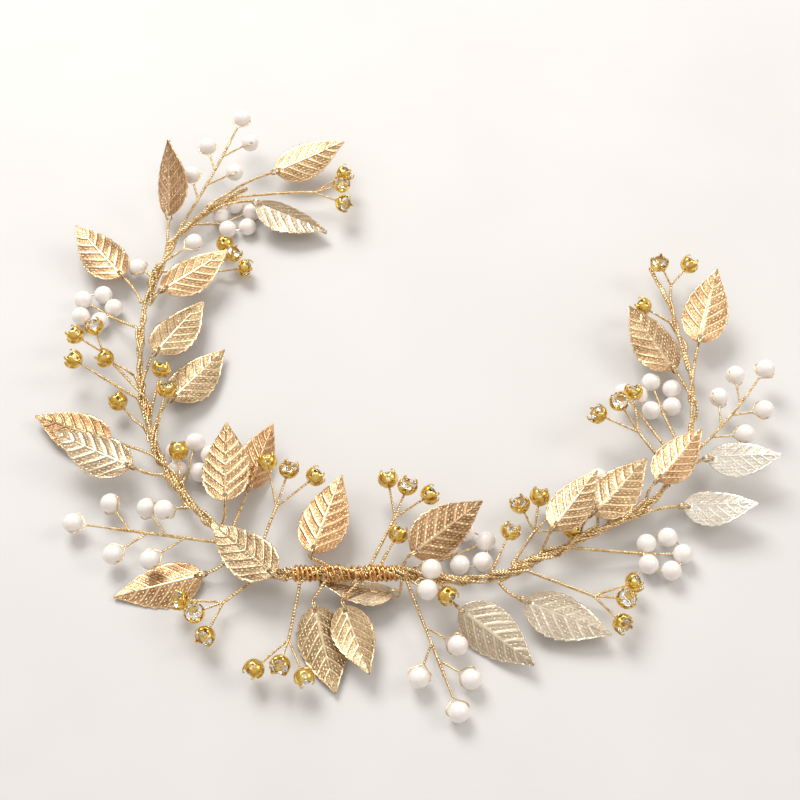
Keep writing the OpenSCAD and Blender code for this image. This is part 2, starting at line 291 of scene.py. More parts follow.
def group(name, inputs, outputs):
    """A new shader node group with float or vector sockets."""
    tree = bpy.data.node_groups.new(name, "ShaderNodeTree")
    for socket, kind, value in inputs:
        made = tree.interface.new_socket(socket, in_out="INPUT", socket_type="NodeSocket" + kind)
        if value is not None:
            made.default_value = value
    for socket, kind in outputs:
        tree.interface.new_socket(socket, in_out="OUTPUT", socket_type="NodeSocket" + kind)
    return tree, tree.nodes.new("NodeGroupInput"), tree.nodes.new("NodeGroupOutput")


def fed(tree, made, values):
    """A node with its inputs set to values or linked to sockets."""
    for socket, value in dict(values).items():
        if isinstance(value, bpy.types.NodeSocket):
            tree.links.new(value, made.inputs[socket])
        else:
            made.inputs[socket].default_value = value
    return made


def node_in(tree, kind, values=(), **settings):
    """A new node with its inputs and its settings."""
    made = tree.nodes.new("ShaderNode" + kind)
    for setting, value in settings.items():
        setattr(made, setting, value)
    return fed(tree, made, values)


plating, into, out_of = group(
    "plating",
    [("Place", "Vector", None), ("Patch Scale", "Float", 120.0), ("Grain Scale", "Float", 2500.0)],
    [("Patches", "Float"), ("Grain", "Float")],
)
place = into.outputs["Place"]
patches, grain = (
    node_in(plating, "TexNoise", {"Vector": place, "Scale": into.outputs[scale], "Detail": detail})
    for scale, detail in (("Patch Scale", 3.0), ("Grain Scale", 2.0))
)
spread_out = {"Value": patches.outputs["Fac"], "From Min": 0.3, "From Max": 0.7}
even = node_in(plating, "MapRange", spread_out)
fed(plating, out_of, {"Patches": even.outputs["Result"], "Grain": grain.outputs["Fac"]})
print("plating group:", [item.name for item in plating.interface.items_tree])

# %% [markdown]
# The stamped net
#
# Between its veins each leaf is stamped all over with a fine net, like the smallest veins of
# a real leaf, with rows of tiny round pips in it. It is far too fine to model. A second
# group makes it from cells. The edges between irregular cells are the net, and the middles
# of the nearly square cells of each row are the pips. Both stand up and catch the light.

# %% The net group

net, into, out_of = group(
    "stamped_net",
    [("Place", "Vector", None), ("Rows", "Vector", None), ("Cell Scale", "Float", 1.6)],
    [("Ridge", "Float"), ("Dots", "Float")],
)
place = into.outputs["Place"]
warp = node_in(net, "TexNoise", {"Vector": place, "Scale": 0.9, "Detail": 2.0})
shifted = node_in(net, "Mix", {0: 0.25, 4: place, 5: warp.outputs["Color"]}, data_type="VECTOR")
cells = node_in(
    net,
    "TexVoronoi",
    {"Vector": shifted.outputs[1], "Scale": into.outputs["Cell Scale"]},
    feature="DISTANCE_TO_EDGE",
)
in_rows = {"Vector": into.outputs["Rows"], "Scale": 1.0, "Randomness": 0.25}
dots = node_in(net, "TexVoronoi", in_rows, feature="F1")
for mask, source, full, none in (("Ridge", cells, 0.0, 0.16), ("Dots", dots, 0.20, 0.34)):
    limits = {"From Min": full, "From Max": none, "To Min": 1.0, "To Max": 0.0}
    fall = node_in(net, "MapRange", {"Value": source.outputs["Distance"], **limits})
    fed(net, out_of, {mask: fall.outputs["Result"]})
print("net group:", [item.name for item in net.interface.items_tree])

# %% [markdown]
# The metals
#
# Three gold finishes share one recipe. A metal's colour is the colour of what it reflects, so
# each has full Metallic, a deep and a bright colour mixed by the plating's patches, and a
# roughness that rises where the plate is deep. Only the colours and sizes differ.

# %% Gold wire, binding and cup finishes


def material(name):
    """A new material with its Principled shader and its own coordinates."""
    made = bpy.data.materials.new(name)
    made.use_nodes = True
    tree = made.node_tree
    shader = tree.nodes["Principled BSDF"]
    place = tree.nodes.new("ShaderNodeTexCoord").outputs["Object"]
    return made, tree, shader, place


def use(tree, shared, **values):
    """A shared group placed in a material."""
    made = tree.nodes.new("ShaderNodeGroup")
    made.node_tree = shared
    return fed(tree, made, {socket.replace("_", " "): value for socket, value in values.items()})


def blended(tree, mask, low, high):
    """A colour between low and high, each a colour or a socket."""
    mix = node_in(tree, "Mix", {0: mask, 6: low, 7: high}, data_type="RGBA")
    return mix.outputs[2]


def ranged(tree, value, low, high):
    """A value from low to high as a mask goes from 0 to 1."""
    return node_in(tree, "MapRange", {"Value": value, "To Min": low, "To Max": high}).outputs[0]


def bumped(tree, height, depth, strength, **onto):
    """A normal that follows a height, laid onto another normal if there is one."""
    values = {"Height": height, "Distance": depth, "Strength": strength, **onto}
    return node_in(tree, "Bump", values).outputs["Normal"]


def gold(name, deep, bright, rough_at, patch_scale, grain_scale, grain_depth):
    """A plated metal whose colour and roughness follow its patches."""
    made, tree, shader, place = material(name)
    plate = use(tree, plating, Place=place, Patch_Scale=patch_scale, Grain_Scale=grain_scale)
    mask = plate.outputs["Patches"]
    finish = {
        "Base Color": blended(tree, mask, deep, bright),
        "Roughness": ranged(tree, mask, rough_at, 0.12),
        "Normal": bumped(tree, plate.outputs["Grain"], grain_depth, 0.5),
        "Metallic": 1.0,
    }
    fed(tree, shader, finish)
    return made


# Deep and bright colour, roughness where deep, scales of patches and grain, depth of grain.
GOLDS = {
    "pale_gold_wire": ((0.60, 0.36, 0.14, 1), (1.0, 0.86, 0.56, 1), 0.26, 1100, 5200, 0.01 * MM),
    "deep_gold_binding": ((0.68, 0.25, 0.04, 1), (1.0, 0.70, 0.30, 1), 0.26, 900, 5200, 0.01 * MM),
    "yellow_gold_cup": ((0.70, 0.37, 0.04, 1), (1.0, 0.78, 0.25, 1), 0.24, 620, 4200, 0.006 * MM),
}
wire_gold, binding_gold, cup_gold = (gold(name, *values) for name, values in GOLDS.items())
print("metals:", [m.name for m in (wire_gold, binding_gold, cup_gold)])

# %% [markdown]
# Leaf gold, crystal and pearl
#
# The leaf's finish follows the stamping, so it reads attributes that the leaf's own mesh
# carries: how high the veins stand, the place on the blade in millimetres, the rows of pips,
# and how coppery or pale that leaf is. On the palest leaves that paleness is a painted
# reflection of the lamps. Raised lines are polished by wear and pale, and the low places
# keep a darker tone. Pearl lacquer is a cream coat under a clear gloss. Crystal is clear glass.

# %% Leaf, crystal and pearl finishes


def leaf_finish():
    """Gold that is bright on the raised lines and pips, and dark between them."""
    made, tree, shader, place = material("stamped_leaf_gold")
    vein, copper, pale = (
        node_in(tree, "Attribute", attribute_name=name).outputs["Fac"]
        for name in ("vein", "copper", "pale")
    )
    blade = node_in(tree, "Attribute", attribute_name="blade").outputs["Vector"]
    rows = node_in(tree, "Attribute", attribute_name="rows").outputs["Vector"]
    web = use(tree, net, Place=blade, Rows=rows, Cell_Scale=1.5)
    plate = use(tree, plating, Place=place, Patch_Scale=170.0, Grain_Scale=3000.0)
    lines, pips = (
        node_in(tree, "Math", {0: web.outputs[name], 1: height}, operation="MULTIPLY").outputs[0]
        for name, height in (("Ridge", 0.2), ("Dots", 1.0))
    )
    relief = vein
    for higher in (lines, pips):
        relief = node_in(tree, "Math", {0: relief, 1: higher}, operation="MAXIMUM").outputs[0]
    limits = {"Value": relief, "From Min": 0.05, "From Max": 0.7}
    shade = node_in(tree, "MapRange", limits).outputs[0]
    low = blended(tree, copper, (0.25, 0.145, 0.065, 1), (0.36, 0.155, 0.055, 1))
    high = blended(tree, copper, (1.0, 0.80, 0.51, 1), (1.0, 0.66, 0.37, 1))
    # Pale draws a leaf towards near-white, which on the palest leaves is a painted reflection.
    low = blended(tree, pale, low, (0.80, 0.73, 0.60, 1))
    high = blended(tree, pale, high, (1.0, 0.98, 0.92, 1))
    worn = blended(tree, ranged(tree, plate.outputs["Patches"], 0.0, 0.35), low, high)
    stamped = bumped(tree, relief, 0.13 * MM, 0.9)
    finish = {
        "Base Color": blended(tree, shade, worn, high),
        "Roughness": ranged(tree, shade, 0.40, 0.2),
        "Normal": bumped(tree, plate.outputs["Grain"], 0.02 * MM, 0.5, Normal=stamped),
        "Metallic": 1.0,
    }
    fed(tree, shader, finish)
    return made


def pearl_finish():
    """Cream lacquer with faint patches, under a clear coat."""
    made, tree, shader, place = material("ivory_pearl_lacquer")
    plate = use(tree, plating, Place=place, Patch_Scale=240.0, Grain_Scale=1800.0)
    cream = blended(tree, plate.outputs["Patches"], (0.95, 0.89, 0.84, 1), (0.97, 0.93, 0.91, 1))
    finish = {
        "Base Color": cream,
        "Roughness": ranged(tree, plate.outputs["Grain"], 0.30, 0.42),
        "Subsurface Weight": 0.15,
        "Subsurface Scale": 0.6 * MM,
        "Coat Weight": 0.8,
        "Coat Roughness": 0.08,
    }
    fed(tree, shader, finish)
    return made


def crystal_finish():
    """Clear glass, a little less smooth in patches."""
    made, tree, shader, place = material("clear_cut_crystal")
    plate = use(tree, plating, Place=place, Patch_Scale=600.0, Grain_Scale=6000.0)
    finish = {
        "Roughness": ranged(tree, plate.outputs["Patches"], 0.0, 0.03),
        "Base Color": (0.98, 0.99, 1.0, 1),
        "Transmission Weight": 1.0,
        "IOR": 1.55,
    }
    fed(tree, shader, finish)
    return made


leaf_gold, pearl, crystal = leaf_finish(), pearl_finish(), crystal_finish()
print("finishes:", [m.name for m in (leaf_gold, pearl, crystal)])

# %% [markdown]
# The spine's line
#
# The CAD spine is a plain tube with a ring of corners every few millimetres. The middle of
# each ring is a point on its centre line. Put end to end, the five bodies' lines make one
# long line from the left tip to the right tip, and the two sides of each bend meet on it.

# %% Find the spine

SPINE_ORDER = ["left_outer", "left_inner", "middle", "right_inner", "right_outer"]
RING_WIDTH = 2.75 * MM
SPINE_STEP = 0.25 * MM


def ring_middles(node):
    """Middles of a tube's rings of corners, in order, and the tube's radius."""
    corners = list(point_sets(node)[0])
    middles = []
    while corners:
        near = [c for c in corners if np.linalg.norm(c - corners[0]) < RING_WIDTH]
        corners = [c for c in corners if np.linalg.norm(c - corners[0]) >= RING_WIDTH]
        middles.append(Vector(np.mean(near, axis=0)))
        radius = np.linalg.norm(near[0] - np.mean(near, axis=0))
    ends = max(
        ((a, b) for a in middles for b in middles), key=lambda pair: (pair[0] - pair[1]).length
    )
    line, rest = [ends[0]], [m for m in middles if m is not ends[0]]
    while rest:
        line.append(min(rest, key=lambda m: (m - line[-1]).length))
        rest.remove(line[-1])
    return line, radius


spine_points, spine_radius = [], {}
for body in SPINE_ORDER:
    middles, spine_radius[body] = ring_middles(body + "_spine")
    if spine_points:
        if (middles[0] - spine_points[-1]).length > (middles[-1] - spine_points[-1]).length:
            middles.reverse()
    elif middles[0].y < middles[-1].y:
        middles.reverse()
    spine_points += middles
spine = smooth(spine_points, SPINE_STEP)
spine_lengths = walked(spine)
print("spine:", round(spine_lengths[-1] / MM), "mm in", len(spine), "points")

# %% [markdown]
# Twisting the spine
#
# The real spine isn't a rope but a loose bundle. Each arm's wires are twisted in pairs, and
# the pairs run side by side with a slow, uneven turn, fewer of them further out. So a few
# plies wander round the one long line, and each ply is two strands twisted tightly. The
# bundle is then cut near the bends. A short piece across each bend carries the wire smoothly
# round it, but rides on neither body and stays where it lies.

# %% Make the spine

BEND_REACH = 5 * MM
STRAND = 0.22 * MM
STRAND_PITCH = 1.9 * MM
PLY_PITCH = 24 * MM
# How many plies each piece of the spine has: body, bend, body and so on, from the left tip.
PLIES = [3, 3, 5, 5, 6, 5, 5, 3, 3]


def nearest_on(line, point):
    """Index of the point of a line that is nearest to a point."""
    return min(range(len(line)), key=lambda i: (line[i] - point).length_squared)


bend_at = {}
for joint in frame["joints"]:
    bend_at[frozenset((joint["parent"], joint["child"]))] = spine_lengths[
        nearest_on(spine, Vector(joint["pos_m"]))
    ]


def bundle_radius(s):
    """The bundle's radius at a length along the spine, eased from body to body at the bends."""
    radius = spine_radius[SPINE_ORDER[0]]
    for a, b in zip(SPINE_ORDER, SPINE_ORDER[1:]):
        bend = bend_at[frozenset((a, b))]
        share = min(1, max(0, (s - bend + BEND_REACH) / (2 * BEND_REACH)))
        radius += (spine_radius[b] - spine_radius[a]) * share
    return radius


bundle = [bundle_radius(s) for s in spine_lengths]
plies = wound(
    spine, max(PLIES), [max(STRAND, r - 1.8 * STRAND) for r in bundle], PLY_PITCH, loose=0.9
)
plies = [wound(ply, 2, STRAND, STRAND_PITCH, loose=0.2) for ply in plies]
cuts = [0]
for a, b in zip(SPINE_ORDER, SPINE_ORDER[1:]):
    bend = bend_at[frozenset((a, b))]
    for end in (bend - BEND_REACH, bend + BEND_REACH):
        cuts.append(min(range(len(spine)), key=lambda i: abs(spine_lengths[i] - end)))
cuts.append(len(spine) - 1)
edges = [0, *((a + b) // 2 for a, b in zip(cuts[1::2], cuts[2::2])), cuts[-1]]
stretch = dict(zip(SPINE_ORDER, zip(edges, edges[1:])))
for k, (start, stop) in enumerate(zip(cuts, cuts[1:])):
    strands = [strand for ply in plies[: PLIES[k]] for strand in ply]
    mesh = wires("spine_%d" % k, [(strand[start : stop + 1], STRAND) for strand in strands])
    if k % 2 == 0:
        body = SPINE_ORDER[k // 2]
        shown(body + "_bundle", mesh, wire_gold, body, [body + "_spine"])
    else:
        first, second = SPINE_ORDER[k // 2], SPINE_ORDER[k // 2 + 1]
        piece = shown("%s_to_%s_bend" % (first, second), mesh, wire_gold)
        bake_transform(piece)
print("spine pieces:", len(cuts) - 1)

# %% [markdown]
# Stems
#
# Each sprig stands on its own stem. The CAD stem gives both its ends and the direction of
# each, and a curve with a handle a third of the way in from each end fills in the rest.

# %% Find the stems' lines


def stem_lines(body):
    """A smooth centre line for each stem of a body, from the spine to its end."""
    lines = []
    for _, ends in wire_solids(body + "_stems"):
        (a, out_a), (b, out_b) = ends[:2]
        i, j = nearest_on(spine, a), nearest_on(spine, b)
        if (spine[i] - a).length > (spine[j] - b).length:
            a, out_a, b, out_b, i = b, out_b, a, out_a, j
        reach = (b - a).length / 3
        lines.append((i, [a, a - out_a * reach, b - out_b * reach, b]))
    return lines


def arc(points, step=0.4 * MM):
    """Points on the curve that leaves and reaches its ends in the directions of its handles."""
    a, b, c, d = points
    count = max(4, round((d - a).length / step))
    line = []
    for i in range(count + 1):
        t = i / count
        u = 1 - t
        line.append(a * u**3 + b * (3 * u * u * t) + c * (3 * u * t * t) + d * t**3)
    return line


stems = {body: [(i, arc(p)) for i, p in stem_lines(body)] for body in SPINE_ORDER}
print("stems:", {body: len(lines) for body, lines in stems.items()})

# %% [markdown]
# Winding the stems on
#
# A maker fixes a sprig by winding the tail of its two-strand twist round the spine. So each
# twist starts further back, inside its own body's stretch of the spine, turns a little round
# the bundle, and leaves it where the CAD stem starts.

# %% Make the stems

# A tail is this many steps long, and each step is this many points of the spine.
TAIL_STEPS = 6
TAIL_STEP = 7
TWIST_STEP = 0.2 * MM
STEM_STRAND = 0.23 * MM
STEM_PITCH = 1.6 * MM


def from_spine(body, index, line):
    """The stem's line with a tail that winds round its body's stretch of the spine."""
    low, high = stretch[body]
    tangent = (spine[min(index + 1, len(spine) - 1)] - spine[max(index - 1, 0)]).normalized()
    way = 1 if (line[1] - line[0]).dot(tangent) > 0 else -1
    if not low <= index - way * 4 * TAIL_STEP <= high:
        way = -way
    side = (line[0] - spine[index]).normalized()
    curl = draw.choice((-1, 1)) * draw.uniform(0.3, 0.8)
    tail = []
    for step in range(TAIL_STEPS, 0, -1):
        there = index - way * step * TAIL_STEP
        if low <= there <= high:
            out = Matrix.Rotation(curl * step, 3, tangent) @ side
            tail.append(spine[there] + out * (bundle[there] + STRAND))
    return smooth([*tail, *line[:-1:3], line[-1]], TWIST_STEP)


for body in SPINE_ORDER:
    lines = []
    for index, line in stems[body]:
        whole = from_spine(body, index, line)
        phase = draw.uniform(0, math.tau)
        for strand in wound(whole, 2, STEM_STRAND, STEM_PITCH, phase=phase, loose=0.15):
            lines.append((strand, STEM_STRAND))
    mesh = wires(body + "_stem_wires", lines)
    shown(body + "_stem_wires", mesh, wire_gold, body, [body + "_stems"])
    print(body, "stem faces:", len(mesh.polygons))

# %% [markdown]
# The binding
#
# The two arms are bound together in the middle. A closer coil of thicker wire sits at each
# end, and a looser wrap crosses between them. Both are hand wound, so each is a few helices
# that wander in and out a little, at the radius that the CAD sleeve has.

# %% Make the binding

BINDINGS = {
    "binding_end_coils": {"count": 2, "pitch": 2.3 * MM, "thick": 0.40 * MM, "loose": 0.22},
    "binding_wrap": {"count": 2, "pitch": 3.4 * MM, "thick": 0.36 * MM, "loose": 0.35},
}
for node, made_as in BINDINGS.items():
    low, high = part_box(node)
    thick = made_as["thick"]
    lines = []
    for points in point_sets(node) if node == "binding_end_coils" else [np.array([low, high])]:
        x0, x1 = points[:, 0].min(), points[:, 0].max()
        line = [
            Vector((x, 0, (low.z + high.z) / 2))
            for x in np.arange(x0 + thick, x1 - thick / 2, 0.1 * MM)
        ]
        for strand in wound(
            line,
            made_as["count"],
            (high.z - low.z) / 2 - thick,
            made_as["pitch"],
            phase=draw.uniform(0, math.tau),
            loose=made_as["loose"],
        ):
            lines.append((strand, thick))
    mesh = wires(node + "_wound", lines)
    shown(node + "_wound", mesh, binding_gold, body_of[node], [node])
    print(node, "faces:", len(mesh.polygons))

# %% [markdown]
# A leaf's own frame
#
# Each leaf is the same shallow arched sheet, turned its own way. Its length runs from the
# eye at its base to its tip. The base is the blunter end, and the midrib is higher than the
# margins, which settles which way up it lies.

# %% Measure the leaves


def leaf_frame(node):
    """(frame with +X from base to tip and +Z up off the arch, length, width, arch's drop)."""
    points = point_sets(node)[0]
    middle = points.mean(axis=0)
    axes = np.linalg.svd(points - middle, full_matrices=False)[2]
    run = (points - middle) @ axes[0]
    tip, base = (points[np.argsort(run)[k]].mean(axis=0) for k in (slice(-2, None), slice(0, 2)))
    x = Vector(tip - base)
    length = x.length
    x.normalize()
    y = Vector(axes[1])
    y = (y - x * y.dot(x)).normalized()
    along = (points - base) @ np.array(x) / length
    across = (points - base) @ np.array(y)
    near, far = (
        np.abs(across[(along > a) & (along < b)]).max() for a, b in ((0.1, 0.25), (0.75, 0.9))
    )
    if far > near:
        x, base, along = -x, tip, 1 - along
    z = x.cross(y)
    up = (points - base) @ np.array(z)
    width = across.max() - across.min()
    if up[np.abs(across) > 0.4 * width].mean() > up[np.abs(across) < 0.1 * width].mean():
        y, z, up = -y, -z, -up
    top = up[(along < 0.01) | (along > 0.99)].max()
    drop = top - up[np.abs(across) > 0.49 * width].max()
    arch = ((width / 2) ** 2 + drop**2) / (2 * drop)
    place = Matrix((x, y, z)).transposed().to_4x4()
    place.translation = Vector(base) + z * top
    return place, length, width, arch - math.sqrt(arch**2 - (width / 2) ** 2)


leaf_nodes = [n for n in frame["nodes"] if n.startswith("leaf_")]
leaf_nodes.sort(key=lambda n: int(n.split("_")[1]))
leaf_frames = {node: leaf_frame(node) for node in leaf_nodes}
print("leaves:", {n: (round(f[1] / MM, 1), round(f[2] / MM, 1)) for n, f in leaf_frames.items()})

# %% [markdown]
# What the die stamps
#
# All the leaves come from one die. Its pattern is easiest to say in shares: how far along
# the leaf a place is, from 0 at the foot to 1 at the tip, and how far to the side, from -1
# to 1. The outline, the height of the veins and the count of side veins passed are plain
# functions of these two, so the metal and its finish can follow the same lines.

# %% The leaf's pattern

SIDE_VEINS = 7


def outline(t):
    """Half the width of a leaf at the share t of its length, as a share of the widest."""
    full = math.sin(math.pi * t**0.75) ** 0.75 * (1 - 0.2 * t) / 0.866
    return max(0.04, full * (1 - 0.45 * max(0.0, (t - 0.6) / 0.4) ** 2))


def ridge_of(off, half_width):
    """The height of a rounded ridge, from 0 to 1, at a distance from its middle."""
    return math.exp(-((off / half_width) ** 2))


def vein_count(t, side):
    """How many side veins have been passed from the foot; they lean forward and curve."""
    sweep = (0.23 * abs(side) + 0.07 * side * side) * min(1, 1.5 * (1.15 - t))
    return (t - sweep) * SIDE_VEINS - 0.15


def veins(t, side):
    """How high the veins stand at a place on the blade, from 0 to 1."""
    midrib = ridge_of(side, 0.075 * (1.15 - t))
    rim = 0.6 * ridge_of(1 - abs(side), 0.07)
    along = vein_count(t, side)
    rib = ridge_of(along - round(along), 0.10) * (1 - 0.55 * abs(side) ** 3)
    if t < 0.04 or round(along) < 0:
        rib = 0
    return max(midrib, 0.85 * rib * min(1, 7 * (1 - t)), rim)


print("widest at", max((outline(t / 100), t) for t in range(101))[1], "per cent of a leaf")

# %% [markdown]
# Stamping a leaf
#
# One flat grid is shaped like a die would press it: cut to the toothed outline, raised along
# the veins, arched across, and bent a little along its length, because a wearer's fingers
# leave no two alike. The eye is cut out of the grid and its edge drawn to a circle, and the
# sheet is then given its thickness downwards, so the back shows the same veins sunk in.

# %% Make the leaves

LEAF_GRID = (110, 54)
TEETH = 9
TOOTH_DEPTH = 0.09
RELIEF = 0.32 * MM
WAVE = 0.5 * MM
WAVE_LENGTH = 6 * MM
PIP_ROWS = 3
PIP_STEP = 0.85 * MM
EYE_INSET = 1.4 * MM
EYE_RADIUS = 0.6 * MM
SHEET = 0.3 * MM
# How coppery each leaf is, in the order of their numbers; below 0, how pale it is.
# On leaf_19, leaf_20, leaf_24 and leaf_25 the paleness is a painted reflection of the lamps.
TONES_AND_PAINTED_SHEEN = [0.8, 0.0, -0.05, 0.5, 0.8, 0.3, -0.15, 0.6, 0.0, 0.0, 0.4, 0.4, 0.65, -0.25]
TONES_AND_PAINTED_SHEEN += [0.4, 0.1, -0.2, 0.5, -0.4, -0.5, 0.3, 0.2, 0.5, -0.9, -0.9, 0.3, 0.5]
# Of two leaves that overlap, how much more the upper tip curls up and the lower one down.
CURLS = {"leaf_7": 2.5 * MM, "leaf_8": -1.5 * MM}


def stamped(node, piece_name):
    """One leaf's mesh, with its pattern as attributes."""
    place, length, width, drop = leaf_frames[node]
    tone = TONES_AND_PAINTED_SHEEN[leaf_nodes.index(node)]
    bend = draw.uniform(-0.9, 1.3) * MM + CURLS.get(node, 0)
    skew = math.radians(draw.uniform(-9, 9))
    sway = draw.uniform(-0.5, 0.5) * MM
    fold = draw.uniform(1.1, 1.6)
    mesh = bmesh.new()
    bmesh.ops.create_grid(mesh, x_segments=LEAF_GRID[0], y_segments=LEAF_GRID[1], size=1)
    vein, copper, pale = (mesh.verts.layers.float.new(n) for n in ("vein", "copper", "pale"))
    blade, rows = (mesh.verts.layers.float_vector.new(n) for n in ("blade", "rows"))
    seed = draw.uniform(0.0, 0.3)
    for vert in mesh.verts:
        t, side = (vert.co.x + 1) / 2, vert.co.y
        t = min(max(t, 0.0), 1.0)
        tooth = 0.5 - ((t - 0.06 * (1 - abs(side))) * TEETH % 1.0)
        edge = 1 + TOOTH_DEPTH * tooth * abs(side) ** 6 * min(1, 6 * t, 5 * (1 - t))
        broad = outline(t)
        x = length * t
        y = side * width / 2 * broad * edge
        height = veins(t, side)
        ease = max(0.0, t - 0.15)
        z = -1.2 * drop * (2 * abs(y) / width) ** fold
        z += RELIEF * (height - 0.35) * min(1, 5 * t, 2.5 * broad)
        wave = noise.noise(Vector((x / WAVE_LENGTH, side, 40 * seed)))
        z += WAVE * wave * side * side * broad * min(1, 4 * t)
        z += bend * ease * ease
        turn = skew * ease
        y, z = y * math.cos(turn) - z * math.sin(turn), y * math.sin(turn) + z * math.cos(turn)
        vert.co = Vector((x, y + sway * ease * ease, z))
        vert[vein] = height
        # Pale is a paler tone on some leaves and a painted reflection of the lamps on the palest.
        vert[copper], vert[pale] = max(0.0, tone), max(0.0, -tone)
        vert[blade] = Vector((x, y, 9 * MM * seed)) / MM
        vert[rows] = Vector((PIP_ROWS * vein_count(t, side), abs(y) / PIP_STEP + 0.5, 0))
    eye = Vector((EYE_INSET, 0, 0))
    inside = [
        face
        for face in mesh.faces
        if (face.calc_center_median() - eye).xy.length < EYE_RADIUS
    ]
    bmesh.ops.delete(mesh, geom=inside, context="FACES")
    bmesh.ops.remove_doubles(mesh, verts=mesh.verts, dist=0.01 * MM)
    for vert in mesh.verts:
        away = (vert.co - eye).xy
        if vert.is_boundary and 0 < away.length < 1.5 * EYE_RADIUS:
            vert.co.xy = eye.xy + away.normalized() * EYE_RADIUS
    bmesh.ops.solidify(mesh, geom=mesh.faces[:], thickness=SHEET)
    bmesh.ops.recalc_face_normals(mesh, faces=mesh.faces[:])
    bmesh.ops.transform(mesh, matrix=place, verts=mesh.verts)
    return finished(mesh, piece_name)


for node in leaf_nodes:
    name = "stamped_" + node
    shown(name, stamped(node, name), leaf_gold, body_of[node], [node])

# %% [markdown]
# Cups and crystals
#
# Every crystal sits in a claw cup: a thin gold bowl with crossed holes for wire near its
# bottom and four claws bent over the stone. The stone's own solid gives the cup's axis,
# because its point lies on it. The cup's claws give the turn about that axis.

# %% Measure the cups

GIRDLE_RISE = 0.25


def cup_frames(body):
    """(frame on the bowl's centre with +Z out of its mouth, stone radius, bowl radius)s."""
    cups = point_sets(body + "_cups")
    centres = [points.mean(axis=0) for points in cups]
    found = []
    for points in point_sets(body + "_crystals"):
        middle = points.mean(axis=0)
        axis = np.linalg.svd(points - middle, full_matrices=False)[2][2]
        up = (points - middle) @ axis
        off = np.linalg.norm((points - middle) - np.outer(up, axis), axis=1)
        if off[np.argmax(up)] < off[np.argmin(up)]:
            axis, up = -axis, -up
        radius = off.max()
        girdle = up[np.argmax(off)]
        centre = middle + axis * (girdle - GIRDLE_RISE * radius)
        cup = cups[int(np.argmin([np.linalg.norm(c - middle) for c in centres]))]
        z = Vector(axis)
        x = z.orthogonal().normalized()
        y = z.cross(x)
        rise = (cup - centre) @ axis
        claws = cup[rise > rise.max() - 0.1 * MM] - centre
        angles = np.arctan2(claws @ np.array(y), claws @ np.array(x))
        turn = np.angle(np.exp(4j * angles).mean()) / 4
        place = Matrix((x, y, z)).transposed().to_4x4() @ Matrix.Rotation(turn, 4, "Z")
        place.translation = Vector(centre)
        bowl = np.linalg.norm(cup - centre, axis=1)[rise < 0].max()
        found.append((place, radius, bowl))
    return found


cups = {body: cup_frames(body) for body in SPINE_ORDER}
print("cups:", {body: len(found) for body, found in cups.items()})

# %% [markdown]
# Building one cup
#
# The bowl is a sphere cut open at the top. Faces are taken out for the round holes low down
# and for a notch between each two claws, where the stone shows, and the wall is then made
# solid. A claw starts as a little disc on the rim and is pushed up and over in four steps.

# %% The cup's shape

CUP_WALL = 0.32 * MM
FLAT_BOTTOM = 0.86
HOLE_WIDTH = 12
HOLE_RISE = (-0.72, -0.38)
NOTCH_FOOT = -0.28
NOTCH_SLOPE = 40
CLAW_THICK = 0.17 * MM
# How far up, how far out and how wide a claw is at each step, the last in millimetres.
CLAW_STEPS = [
    (0.0, 1.00, 0.40),
    (0.22, 1.00, 0.36),
    (0.42, 0.94, 0.33),
    (0.56, 0.82, 0.30),
    (0.58, 0.70, 0.22),
]


def bowl(cup_radius, stone_radius):
    """The bowl without its claws."""
    mesh = bmesh.new()
    bmesh.ops.create_uvsphere(mesh, u_segments=32, v_segments=20, radius=cup_radius)
    rim = GIRDLE_RISE * stone_radius
    everything = mesh.verts[:] + mesh.edges[:] + mesh.faces[:]
    bmesh.ops.bisect_plane(
        mesh, geom=everything, plane_co=(0, 0, rim), plane_no=(0, 0, 1), clear_outer=True
    )
    holes = []
    for face in mesh.faces:
        c = face.calc_center_median()
        off_claw = abs(math.degrees(math.atan2(c.y, c.x)) % 90 - 45)
        rise = c.z / cup_radius
        hole = off_claw < HOLE_WIDTH and HOLE_RISE[0] < rise < HOLE_RISE[1]
        if hole or off_claw < NOTCH_SLOPE * (rise - NOTCH_FOOT):
            holes.append(face)
    bmesh.ops.delete(mesh, geom=holes, context="FACES")
    for vert in mesh.verts:
        vert.co.z = max(vert.co.z, -FLAT_BOTTOM * cup_radius)
    bmesh.ops.solidify(mesh, geom=mesh.faces[:], thickness=CUP_WALL)
    bmesh.ops.recalc_face_normals(mesh, faces=mesh.faces[:])
    return mesh


def add_claws(mesh, cup_radius, stone_radius):
    """Adds four claws to a cup's mesh, each bent in over the stone."""
    foot = GIRDLE_RISE * stone_radius - 0.3 * MM
    for k in range(4):
        made = bmesh.ops.create_circle(mesh, cap_ends=True, segments=8, radius=1)
        turn = Matrix.Rotation(math.radians(90 * k), 4, "Z")
        face = made["verts"][0].link_faces[0]
        shape = [v.co.copy() for v in face.verts]
        for step, (rise, out, half) in enumerate(CLAW_STEPS):
            if step:
                face = bmesh.ops.extrude_discrete_faces(mesh, faces=[face])["faces"][0]
            tilt = Matrix.Rotation(-1.1 * max(0, step - 1) / 3, 3, "Y")
            base = Vector((out * (cup_radius - 0.12 * MM), 0, foot + rise * cup_radius))
            for vert, flat in zip(face.verts, shape):
                offset = Vector((flat.x * CLAW_THICK, flat.y * half * MM, 0))
                vert.co = turn @ (base + tilt @ offset)


def claw_cup(cup_radius, stone_radius):
    """The whole cup."""
    mesh = bowl(cup_radius, stone_radius)
    add_claws(mesh, cup_radius, stone_radius)
    bmesh.ops.recalc_face_normals(mesh, faces=mesh.faces[:])
    return mesh


cup_sizes = {body: found[0][1:] for body, found in cups.items()}
print("stone and bowl radius:", [round(float(r) / MM, 2) for r in cup_sizes["middle"]], "mm")

